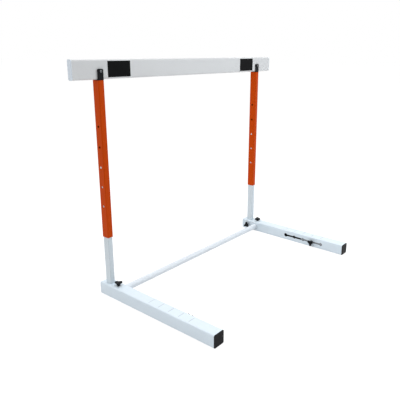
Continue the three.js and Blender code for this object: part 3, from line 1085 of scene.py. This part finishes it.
@dataclass(frozen=True)
class KnobShape:
    """A knob's head, with lobes round its axis, on a tapered hub."""

    lobes: int = 3
    reach: float = 16.5 * MILLIMETRE
    waist: float = 8.6 * MILLIMETRE
    lobe_radius: float = 5 * MILLIMETRE
    head_height: float = 8 * MILLIMETRE
    edge: float = 1.5 * MILLIMETRE
    hub_diameter: float = 17 * MILLIMETRE
    foot_diameter: float = 12.5 * MILLIMETRE
    edge_segments: int = 4
    arc_steps: int = 16

    def outline(self) -> list[tuple[float, float]]:
        """The outline of the head: round lobes, the first along X, joined by shallow hollows."""
        half_step = math.pi / self.lobes
        lobe_at = self.reach - self.lobe_radius
        rise = self.waist - lobe_at * math.cos(half_step)
        across = lobe_at * math.sin(half_step)
        hollow_radius = (rise**2 + across**2 - self.lobe_radius**2) / (2 * (self.lobe_radius - rise))
        hollow_at = self.waist + hollow_radius
        sweep = math.atan2(hollow_at * math.sin(half_step), hollow_at * math.cos(half_step) - lobe_at)
        points = []
        for lobe in range(self.lobes):
            turn = 2 * lobe * half_step
            lobe_middle = (lobe_at * math.cos(turn), lobe_at * math.sin(turn))
            points += arc(lobe_middle, self.lobe_radius, turn - sweep, turn + sweep, self.arc_steps)
            turn += half_step
            hollow_middle = (hollow_at * math.cos(turn), hollow_at * math.sin(turn))
            start = turn + sweep - half_step + math.pi
            end = turn - sweep + half_step + math.pi
            points += arc(hollow_middle, hollow_radius, start, end, self.arc_steps)[1:-1]
        return points

    def blank(self, height: float) -> Blank:
        """The knob's workpiece, which stands on the origin.

        Args:
            height: Its whole height.

        Returns:
            The head and the hub, made one.
        """
        head = Blank.outline(self.outline()).pulled(self.head_height).eased(self.edge, self.edge_segments)
        head.placed(Matrix.Translation((0.0, 0.0, height - self.head_height)))
        hub = Blank.turned([
            (0.0, 0.0),
            (self.foot_diameter / 2, 0.0),
            (self.hub_diameter / 2, height - self.head_height),
            (self.hub_diameter / 2, height - self.head_height / 2),
            (0.0, height - self.head_height / 2),
        ])
        return hub.joined(head)


@dataclass
class ClampScrew(SideAssembly):
    """A lobed knob on a threaded stud."""

    name: str
    pointing: Pointing
    turn: float
    shape: KnobShape = KnobShape()
    pitch: float = 1.25 * MILLIMETRE
    play: float = 0.3 * MILLIMETRE
    skin_grain: float = 0.45 * MILLIMETRE
    skin_passes: int = 4

    def build(self) -> None:
        """Makes the knob and its stud."""
        knob = self.box(f"{self.name}_knob")
        stud = self.box(f"{self.name}_stud")
        direction = (self.pointing.value.to_matrix() @ Vector(Z_AXIS)).normalized()
        height = abs(knob.size.dot(direction))
        along = stud.middle + direction * (knob.middle - stud.middle).dot(direction)
        foot = along - direction * height / 2
        stud_length = abs(stud.size.dot(direction))
        stud_start = (stud.middle - foot).dot(direction) - stud_length / 2
        stud_end = stud_start + stud_length
        stud_diameter = min(stud.size)
        matrix = self.pointing.at(foot, math.radians(self.turn))

        bore = Blank.rod(stud_diameter + 2 * self.play, -CUT_OVERRUN, stud_end + self.play)
        body = self.shape.blank(height).cut(bore).moulded(self.skin_grain, self.skin_passes)
        self.finished(body.placed(matrix), f"{self.name}_knob", KNOB_PLASTIC)
        thread = Blank.threaded(stud_diameter, self.pitch, stud_start, stud_end)
        self.finished(thread.placed(matrix), f"{self.name}_stud", ZINC)


def arc(middle: Point, radius: float, start: float, end: float, steps: int) -> list[tuple[float, float]]:
    """Points along an arc.

    Args:
        middle: The arc's centre.
        radius: Its radius.
        start: The angle of its first point, in radians.
        end: The angle of its last point.
        steps: How many steps it has.

    Returns:
        The X and Y of each point, with both ends.
    """
    angles = [start + (end - start) * step / steps for step in range(steps + 1)]
    return [(middle[0] + radius * math.cos(angle), middle[1] + radius * math.sin(angle)) for angle in angles]


@dataclass
class Counterweight(SideAssembly):
    """A steel block in a runner, held by a screw through the slot."""

    knob_turn: float
    corner: float = 1.5 * MILLIMETRE
    end_edge: float = 1 * MILLIMETRE
    play: float = 0.3 * MILLIMETRE
    washer_edge: float = 0.25 * MILLIMETRE
    stud_pitch: float = 1 * MILLIMETRE

    def build(self) -> None:
        """Makes the block, the washer and the screw."""
        block = self.box("counterweight")
        stud = self.box("counterweight_stud")
        washer = self.box("counterweight_washer")

        body = Blank.bar(block.size.x, block.size.z, self.corner, block.size.y)
        body.eased(self.end_edge).placed(Pointing.REAR.at((block.middle.x, block.low.y, block.middle.z)))
        inner_face = block.middle.x + self.side.inward * block.size.x / 2
        stud_tip = stud.middle.x - self.side.inward * stud.size.x / 2
        hole_depth = abs(inner_face - stud_tip) + self.play
        hole = Blank.rod(stud.size.y + 2 * self.play, -hole_depth, CUT_OVERRUN)
        body.cut(hole.placed(self.inward.at((inner_face, stud.middle.y, stud.middle.z))))
        self.finished(body, "counterweight", MILL_STEEL)

        foot_x = washer.middle.x - self.side.inward * washer.size.x / 2
        ring = Blank.pipe(washer.size.y, stud.size.y + 2 * self.play, 0.0, washer.size.x)
        ring.eased(self.washer_edge).placed(self.inward.at((foot_x, washer.middle.y, washer.middle.z)))
        self.finished(ring, "counterweight_washer", ZINC)

        ClampScrew(
            self.nodes,
            side=self.side,
            name="counterweight",
            pointing=self.inward,
            turn=self.knob_turn,
            pitch=self.stud_pitch,
        ).build()


@dataclass
class Upright(SideAssembly):
    """A post with its snap buttons, and the upper tube that slides on it."""

    post_wall: float = 1.5 * MILLIMETRE
    post_corner: float = 3 * MILLIMETRE
    tube_wall: float = 1.6 * MILLIMETRE
    tube_corner: float = 3.5 * MILLIMETRE
    lock_hole: float = 9 * MILLIMETRE
    height_step: float = 76.2 * MILLIMETRE
    holes_above: int = 2
    holes_below: int = 2
    cut_edge: float = 0.3 * MILLIMETRE
    button_diameter: float = 8 * MILLIMETRE
    button_dome: float = 2.5 * MILLIMETRE
    rivet_diameter: float = 4 * MILLIMETRE
    dome_steps: int = 12

    def build(self) -> None:
        """Makes the post, the upper tube and the buttons."""
        post = self.box("post")
        lock_z = self.box("snap_button_outer").middle.z
        lower_tube = self.tube(post, self.post_wall, self.post_corner, [lock_z])
        self.finished(lower_tube, "post", PALE_PAINT)
        steps = range(-self.holes_below, self.holes_above + 1)
        heights = [lock_z + index * self.height_step for index in steps]
        upper_tube = self.tube(self.box("upper_tube"), self.tube_wall, self.tube_corner, heights)
        self.finished(upper_tube, "upper_tube", ORANGE_PAINT)
        self.dress(self.side.node("snap_spring"), ZINC)
        for piece in ("snap_button_outer", "snap_button_inner"):
            self.finished(self.button(post, self.box(piece)), piece, ZINC)

    def tube(self, box: Box, wall: float, corner: float, hole_heights: Sequence[float]) -> Blank:
        """A rectangular tube along Z with round holes through both of its X sides.

        Args:
            box: The space that it takes up.
            wall: The thickness of its wall.
            corner: The outer radius of its corners.
            hole_heights: The Z of each hole.

        Returns:
            The tube's workpiece.
        """
        tube = Blank.tube(box.size.x, box.size.y, wall, corner, box.size.z)
        tube.placed(Pointing.UP.at((box.middle.x, box.middle.y, box.low.z)))
        holes = [
            Blank.rod(self.lock_hole, -box.size.x, box.size.x).placed(
                Pointing.RIGHT.at((box.middle.x, box.middle.y, height))
            )
            for height in hole_heights
        ]
        return tube.cut(*holes).eased(self.cut_edge)

    def button(self, post: Box, box: Box) -> Blank:
        """A domed snap button, which points away from the post's axis."""
        pointing = Pointing.RIGHT if box.middle.x > post.middle.x else Pointing.LEFT
        near, far = sorted(abs(x - post.middle.x) for x in (box.low.x, box.high.x))
        foot = post.size.x / 2 - self.post_wall
        radius = self.button_diameter / 2
        profile = [
            (0.0, near),
            (self.rivet_diameter / 2, near),
            (self.rivet_diameter / 2, foot),
            (radius, foot),
        ]
        for step in range(self.dome_steps + 1):
            angle = step / self.dome_steps * math.pi / 2
            profile.append((radius * math.cos(angle), far - self.button_dome * (1 - math.sin(angle))))
        button = Blank.turned(profile)
        return button.placed(pointing.at((post.middle.x, post.middle.y, box.middle.z)))


@dataclass
class BarMount(SideAssembly):
    """A bracket that carries the crossbar on an upper tube, with its bolt and nut."""

    side_wall: float = 5.4 * MILLIMETRE
    base_wall: float = 2.5 * MILLIMETRE
    play: float = 0.3 * MILLIMETRE
    outer_bend: float = 2.5 * MILLIMETRE
    inner_bend: float = 5 * MILLIMETRE
    plate_corner: float = 4 * MILLIMETRE
    edge: float = 0.5 * MILLIMETRE
    plug_wall: float = 2.5 * MILLIMETRE
    plug_corner: float = 1.9 * MILLIMETRE
    tube_wall: float = 1.6 * MILLIMETRE
    bolt_diameter: float = 6 * MILLIMETRE
    bolt_pitch: float = 1 * MILLIMETRE
    head_height: float = 4.5 * MILLIMETRE
    head_steps: int = 12
    socket_flats: float = 4 * MILLIMETRE
    socket_depth: float = 2.6 * MILLIMETRE
    nut_chamfer: float = 0.9 * MILLIMETRE

    def build(self) -> None:
        """Makes the bracket, the bolt and the nut."""
        bolt = self.box("bracket_bolt")
        self.finished(self.bracket(self.box("bracket"), bolt), "bracket", BLACK_PLASTIC)
        self.finished(self.bolt(bolt), "bracket_bolt", DARK_ZINC)
        self.finished(self.nut(self.box("bracket_nut")), "bracket_nut", ZINC)

    def bracket(self, box: Box, bolt: Box) -> Blank:
        """A cradle round the crossbar's lower part, over a plug in the tube."""
        tube = self.box("upper_tube")
        foot = tube.high.z
        rise = box.high.z - foot
        cradle = Blank.bar(rise + self.outer_bend, box.size.y, self.outer_bend, box.size.x)
        cradle.placed(Pointing.RIGHT.at((box.low.x, box.middle.y, foot + (rise + self.outer_bend) / 2)))
        face = Blank.bar(box.size.x, rise + self.plate_corner, self.plate_corner, 2 * box.size.y)
        face_z = box.high.z - (rise + self.plate_corner) / 2
        cradle.combined(
            Joining.KEEP_INSIDE,
            face.placed(Pointing.REAR.at((box.middle.x, box.middle.y - box.size.y, face_z))),
        )
        pocket_depth = box.size.y - 2 * self.side_wall
        pocket = Blank.bar(2 * rise, pocket_depth, self.inner_bend, 2 * box.size.x)
        pocket_z = foot + self.base_wall + rise
        cradle.cut(pocket.placed(Pointing.RIGHT.at((box.middle.x - box.size.x, box.middle.y, pocket_z))))
        bolt_hole = Blank.rod(self.bolt_diameter + 2 * self.play, -box.size.y, box.size.y)
        cradle.cut(bolt_hole.placed(Pointing.REAR.at((box.middle.x, box.middle.y, bolt.middle.z))))
        plug_inset = 2 * (self.tube_wall + self.play)
        plug_width, plug_depth = tube.size.x - plug_inset, tube.size.y - plug_inset
        length = foot - box.low.z + self.base_wall / 2
        plug = Blank.tube(plug_width, plug_depth, self.plug_wall, self.plug_corner, length)
        cradle.joined(plug.placed(Pointing.UP.at((box.middle.x, box.middle.y, box.low.z))))
        return cradle.eased(self.edge)

    def bolt(self, box: Box) -> Blank:
        """The bolt, with a domed head at the front, a hexagonal socket in it and a thread behind."""
        radius = max(box.size.x, box.size.z) / 2
        shank = self.bolt_diameter / 2
        length = box.size.y
        grip = length - self.head_height
        thread_length = grip / 2
        profile = [(0.0, thread_length), (shank, thread_length), (shank, grip), (radius, grip)]
        for step in range(1, self.head_steps):
            angle = step / self.head_steps * math.pi / 2
            profile.append((radius * math.cos(angle), grip + self.head_height * math.sin(angle)))
        profile.append((0.0, length))
        body = Blank.turned(profile)
        socket = hexagon(self.socket_flats, self.socket_depth + CUT_OVERRUN)
        body.cut(socket.placed(Pointing.UP.at((0.0, 0.0, length - self.socket_depth))))
        thread = Blank.threaded(self.bolt_diameter, self.bolt_pitch, 0.0, thread_length + self.bolt_pitch)
        return body.joined(thread).placed(Pointing.FRONT.at((box.middle.x, box.high.y, box.middle.z)))

    def nut(self, box: Box) -> Blank:
        """A hexagonal nut with chamfered corners and a bore."""
        flats = min(box.size.x, box.size.z)
        radius = across_corners(flats) / 2
        thickness = box.size.y
        body = hexagon(flats, thickness)
        sleeve = Blank.turned([
            (0.0, 0.0),
            (radius - self.nut_chamfer, 0.0),
            (radius, self.nut_chamfer / 2),
            (radius, thickness - self.nut_chamfer / 2),
            (radius - self.nut_chamfer, thickness),
            (0.0, thickness),
        ])
        bore = Blank.rod(self.bolt_diameter + 2 * self.play, -CUT_OVERRUN, thickness + CUT_OVERRUN)
        body.combined(Joining.KEEP_INSIDE, sleeve).cut(bore)
        return body.placed(Pointing.REAR.at((box.middle.x, box.low.y, box.middle.z)))


def across_corners(flats: float) -> float:
    """A hexagon's width across its corners, from that across its flats."""
    return flats / math.cos(math.pi / HEXAGON_SIDES)


def hexagon(flats: float, length: float) -> Blank:
    """A hexagonal bar, of a width across its flats and a length along Z from the origin."""
    return Blank.rod(across_corners(flats), 0.0, length, steps=HEXAGON_SIDES)


@dataclass
class Crossbar(Assembly):
    """The hollow crossbar with its end caps and dark bands."""

    wall: float = 3 * MILLIMETRE
    corner: float = 6.5 * MILLIMETRE
    cut_edge: float = 0.3 * MILLIMETRE
    bolt_diameter: float = 6 * MILLIMETRE
    play: float = 0.3 * MILLIMETRE
    cap_edge: float = 0.7 * MILLIMETRE
    cap_plug_wall: float = 2 * MILLIMETRE
    band_corner: float = 0.8 * MILLIMETRE
    band_edge: float = 0.12 * MILLIMETRE

    def build(self) -> None:
        """Makes the bar, its caps and its bands."""
        box = Box.of("crossbar")
        self.stand_in(self.profile(box), "crossbar", BAR_PLASTIC)
        for side, pointing in ((Side.LEFT, Pointing.LEFT), (Side.RIGHT, Pointing.RIGHT)):
            cap_node = f"crossbar_{side.value}_cap"
            # The caps' lighter, bluer colour is painted light on the bar's ends.
            self.stand_in(self.end_cap(box, Box.of(cap_node), side, pointing), cap_node, LIT_CAP_PLASTIC)
            for face in ("front", "rear"):
                band_node = f"crossbar_{side.value}_{face}_band"
                self.stand_in(self.band(Box.of(band_node)), band_node, BLACK_FILM)

    def profile(self, box: Box) -> Blank:
        """The hollow bar with its bolt holes."""
        bar = Blank.tube(box.size.z, box.size.y, self.wall, self.corner, box.size.x)
        bar.placed(Pointing.RIGHT.at((box.low.x, box.middle.y, box.middle.z)))
        holes = []
        for side in Side:
            bolt = Box.of(side.node("bracket_bolt"))
            hole = Blank.rod(self.bolt_diameter + 2 * self.play, -box.size.y, box.size.y)
            holes.append(hole.placed(Pointing.REAR.at((bolt.middle.x, box.middle.y, bolt.middle.z))))
        return bar.cut(*holes).eased(self.cut_edge)

    def end_cap(self, box: Box, cap: Box, side: Side, pointing: Pointing) -> Blank:
        """The cap of one of the bar's ends."""
        end_x = box.low.x if side is Side.LEFT else box.high.x
        flange = max(cap.high.x - box.high.x, box.low.x - cap.low.x)
        blank = EndCap(
            width=cap.size.z,
            height=cap.size.y,
            corner=self.corner,
            flange=flange,
            edge=self.cap_edge,
            plug_inset=self.wall + self.play,
            plug_depth=cap.size.x - flange,
            plug_wall=self.cap_plug_wall,
        ).blank()
        return blank.placed(pointing.at((end_x, box.middle.y, box.middle.z)))

    def band(self, box: Box) -> Blank:
        """A band of film on one of the bar's flat faces."""
        film = Blank.bar(box.size.x, box.size.z, self.band_corner, box.size.y).eased(self.band_edge)
        return film.placed(Pointing.REAR.at((box.middle.x, box.low.y, box.middle.z)))


@dataclass
class CrossTube(Assembly):
    """The round tube between the runners."""

    wall: float = 1.5 * MILLIMETRE
    cut_edge: float = 0.3 * MILLIMETRE

    def build(self) -> None:
        """Makes the tube."""
        box = Box.of("cross_tube")
        tube = Blank.pipe(box.size.z, box.size.z - 2 * self.wall, 0.0, box.size.x).eased(self.cut_edge)
        tube.placed(Pointing.RIGHT.at((box.low.x, box.middle.y, box.middle.z)))
        self.stand_in(tube, "cross_tube", NEUTRAL_PAINT)


# Studio


@dataclass
class Studio:
    """The pale floor, the soft light and the camera."""

    camera_place: Point = (-1.56016, -1.15249, 0.95268)
    camera_yaw: float = 0.8994
    camera_pitch: float = 0.28784
    camera_roll: float = 0.01022
    camera_nearest: float = 0.05
    focal_pixels: float = 474.633
    centre_pixel: Point = (220.9681, 189.38)
    picture_pixels: float = 400.0
    sensor_width: float = 36.0
    floor_size: float = 60.0
    floor_below: float = 0.2 * MILLIMETRE
    floor_grey: float = 0.8
    floor_seen_grey: float = 0.3
    floor_glow: float = 0.84
    sky_strength: float = 0.55
    sky_slant: Point = (-0.05, 0.44, 0.0)
    top_power: float = 83.0
    top_size: float = 4.0
    top_height: float = 3.2
    aim_height: float = 0.5
    side_place: Point = (1.9, -1.7, 1.4)
    side_size: float = 1.2
    side_power: float = 20.5
    side_colour: Point = (0.86, 0.94, 1.0)

    def build(self) -> None:
        """Makes everything that isn't the hurdle."""
        self.camera()
        self.floor()
        self.sky()
        self.lamp("top lamp", (0.0, 0.0, self.top_height), self.top_size, self.top_power, WHITE[:3])
        self.lamp("side lamp", self.side_place, self.side_size, self.side_power, self.side_colour)
        bpy.context.scene.view_settings.view_transform = "Standard"

    def camera(self) -> None:
        """The camera, where the photograph was taken from."""
        data = bpy.data.cameras.new("camera")
        data.sensor_width = self.sensor_width
        data.lens = self.focal_pixels / self.picture_pixels * self.sensor_width
        data.shift_x = 0.5 - self.centre_pixel[0] / self.picture_pixels
        data.shift_y = self.centre_pixel[1] / self.picture_pixels - 0.5
        data.clip_start = self.camera_nearest
        data.clip_end = 2 * self.floor_size
        camera = in_scene("camera", data)
        heading = Matrix.Rotation(-self.camera_yaw, MATRIX_SIZE, "Z")
        nod = Matrix.Rotation(math.pi / 2 - self.camera_pitch, MATRIX_SIZE, "X")
        lean = Matrix.Rotation(self.camera_roll, MATRIX_SIZE, "Z")
        camera.matrix_world = Matrix.Translation(self.camera_place) @ heading @ nod @ lean
        bpy.context.scene.camera = camera

    def floor(self) -> None:
        """A pale floor, white to the camera, which keeps the hurdle's soft shadow."""
        mesh = bmesh.new()
        bmesh.ops.create_grid(mesh, x_segments=1, y_segments=1, size=self.floor_size / 2)
        bmesh.ops.translate(mesh, vec=(0.0, 0.0, -self.floor_below), verts=mesh.verts)
        floor = Blank(mesh).shown("floor")
        mesh.free()
        floor.data.materials.append(self.floor_material())

    def floor_material(self) -> bpy.types.Material:
        """A pale matte floor that adds a white glow of its own where the camera sees it."""
        material = bpy.data.materials.new("pale floor")
        sheet = NodeSheet(material)
        plain = sheet.add("ShaderNodeBsdfDiffuse", {"Color": shaded(WHITE, self.floor_grey)})
        faint = sheet.add("ShaderNodeBsdfDiffuse", {"Color": shaded(WHITE, self.floor_seen_grey)})
        glow = sheet.add("ShaderNodeEmission", {"Color": WHITE, "Strength": self.floor_glow})
        seen = sheet.add("ShaderNodeAddShader", {})
        sheet.feed(seen.inputs[0], faint.outputs[0])
        sheet.feed(seen.inputs[1], glow.outputs[0])
        mix = sheet.add("ShaderNodeMixShader", {"Fac": seen_directly(sheet)})
        sheet.feed(mix.inputs[1], plain.outputs[0])
        sheet.feed(mix.inputs[2], seen.outputs[0])
        output = sheet.tree.nodes["Material Output"]
        sheet.feed(output.inputs["Surface"], mix.outputs[0])
        return material

    def sky(self) -> None:
        """Light from all round, stronger from the rear and, a little, from the left.

        The camera sees it as white, also by way of a reflection or a clear part.
        """
        world = bpy.data.worlds.new("studio")
        bpy.context.scene.world = world
        sheet = NodeSheet(world)
        direction = sheet.add("ShaderNodeTexCoord", {})
        slant = sheet.add("ShaderNodeVectorMath", {}, operation="DOT_PRODUCT")
        sheet.feed(slant.inputs[0], direction.outputs["Generated"])
        sheet.feed(slant.inputs[1], self.sky_slant)
        level = sheet.add("ShaderNodeMath", {}, operation="ADD")
        sheet.feed(level.inputs[0], slant.outputs["Value"])
        sheet.feed(level.inputs[1], self.sky_strength)
        inputs = {"Value": seen_directly(sheet), "To Min": level.outputs["Value"], "To Max": 1.0}
        strength = sheet.add("ShaderNodeMapRange", inputs)
        background = sheet.tree.nodes["Background"]
        sheet.feed(background.inputs["Color"], WHITE)
        sheet.feed(background.inputs["Strength"], strength.outputs["Result"])

    def lamp(self, name: str, place: Point, size: float, power: float, colour: Point) -> None:
        """Adds a square soft lamp that looks at the hurdle's middle.

        Args:
            name: Its name.
            place: Where it hangs.
            size: The length of its sides.
            power: Its power in watts.
            colour: The colour of its light.
        """
        data = bpy.data.lights.new(name, "AREA")
        data.shape = "SQUARE"
        data.size = size
        data.energy = power
        data.color = colour
        lamp = in_scene(name, data)
        away = Vector(place) - Vector((0.0, 0.0, self.aim_height))
        lamp.matrix_world = Matrix.Translation(place) @ away.to_track_quat("Z", "Y").to_matrix().to_4x4()
        lamp.visible_camera = False


def seen_directly(sheet: NodeSheet) -> bpy.types.NodeSocket:
    """1 for rays from the camera, also by way of a reflection or a clear part, and 0 for all others."""
    path = sheet.add("ShaderNodeLightPath", {})
    near = sheet.add("ShaderNodeMath", {}, operation="MAXIMUM")
    sheet.feed(near.inputs[0], path.outputs["Is Camera Ray"])
    sheet.feed(near.inputs[1], path.outputs["Is Glossy Ray"])
    both = sheet.add("ShaderNodeMath", {}, operation="MAXIMUM")
    sheet.feed(both.inputs[0], near.outputs[0])
    sheet.feed(both.inputs[1], path.outputs["Is Transmission Ray"])
    return both.outputs[0]


def main() -> None:
    """Builds the looks of the whole hurdle."""
    logging.basicConfig(level=logging.INFO, format="%(name)s: %(message)s")
    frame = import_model()
    nodes = frame["nodes"]
    Studio().build()
    for side in Side:
        turns = KNOB_TURNS[side]
        runner = Runner(nodes, side)
        runner.build()
        ClampScrew(nodes, side, name="post_clamp", pointing=runner.inward, turn=turns.post).build()
        ClampScrew(nodes, side, name="cross_clamp", pointing=Pointing.UP, turn=turns.cross).build()
        Counterweight(nodes, side, knob_turn=turns.weight).build()
        Upright(nodes, side).build()
        BarMount(nodes, side).build()
    Crossbar(nodes).build()
    CrossTube(nodes).build()


if __name__ == "__main__":
    main()
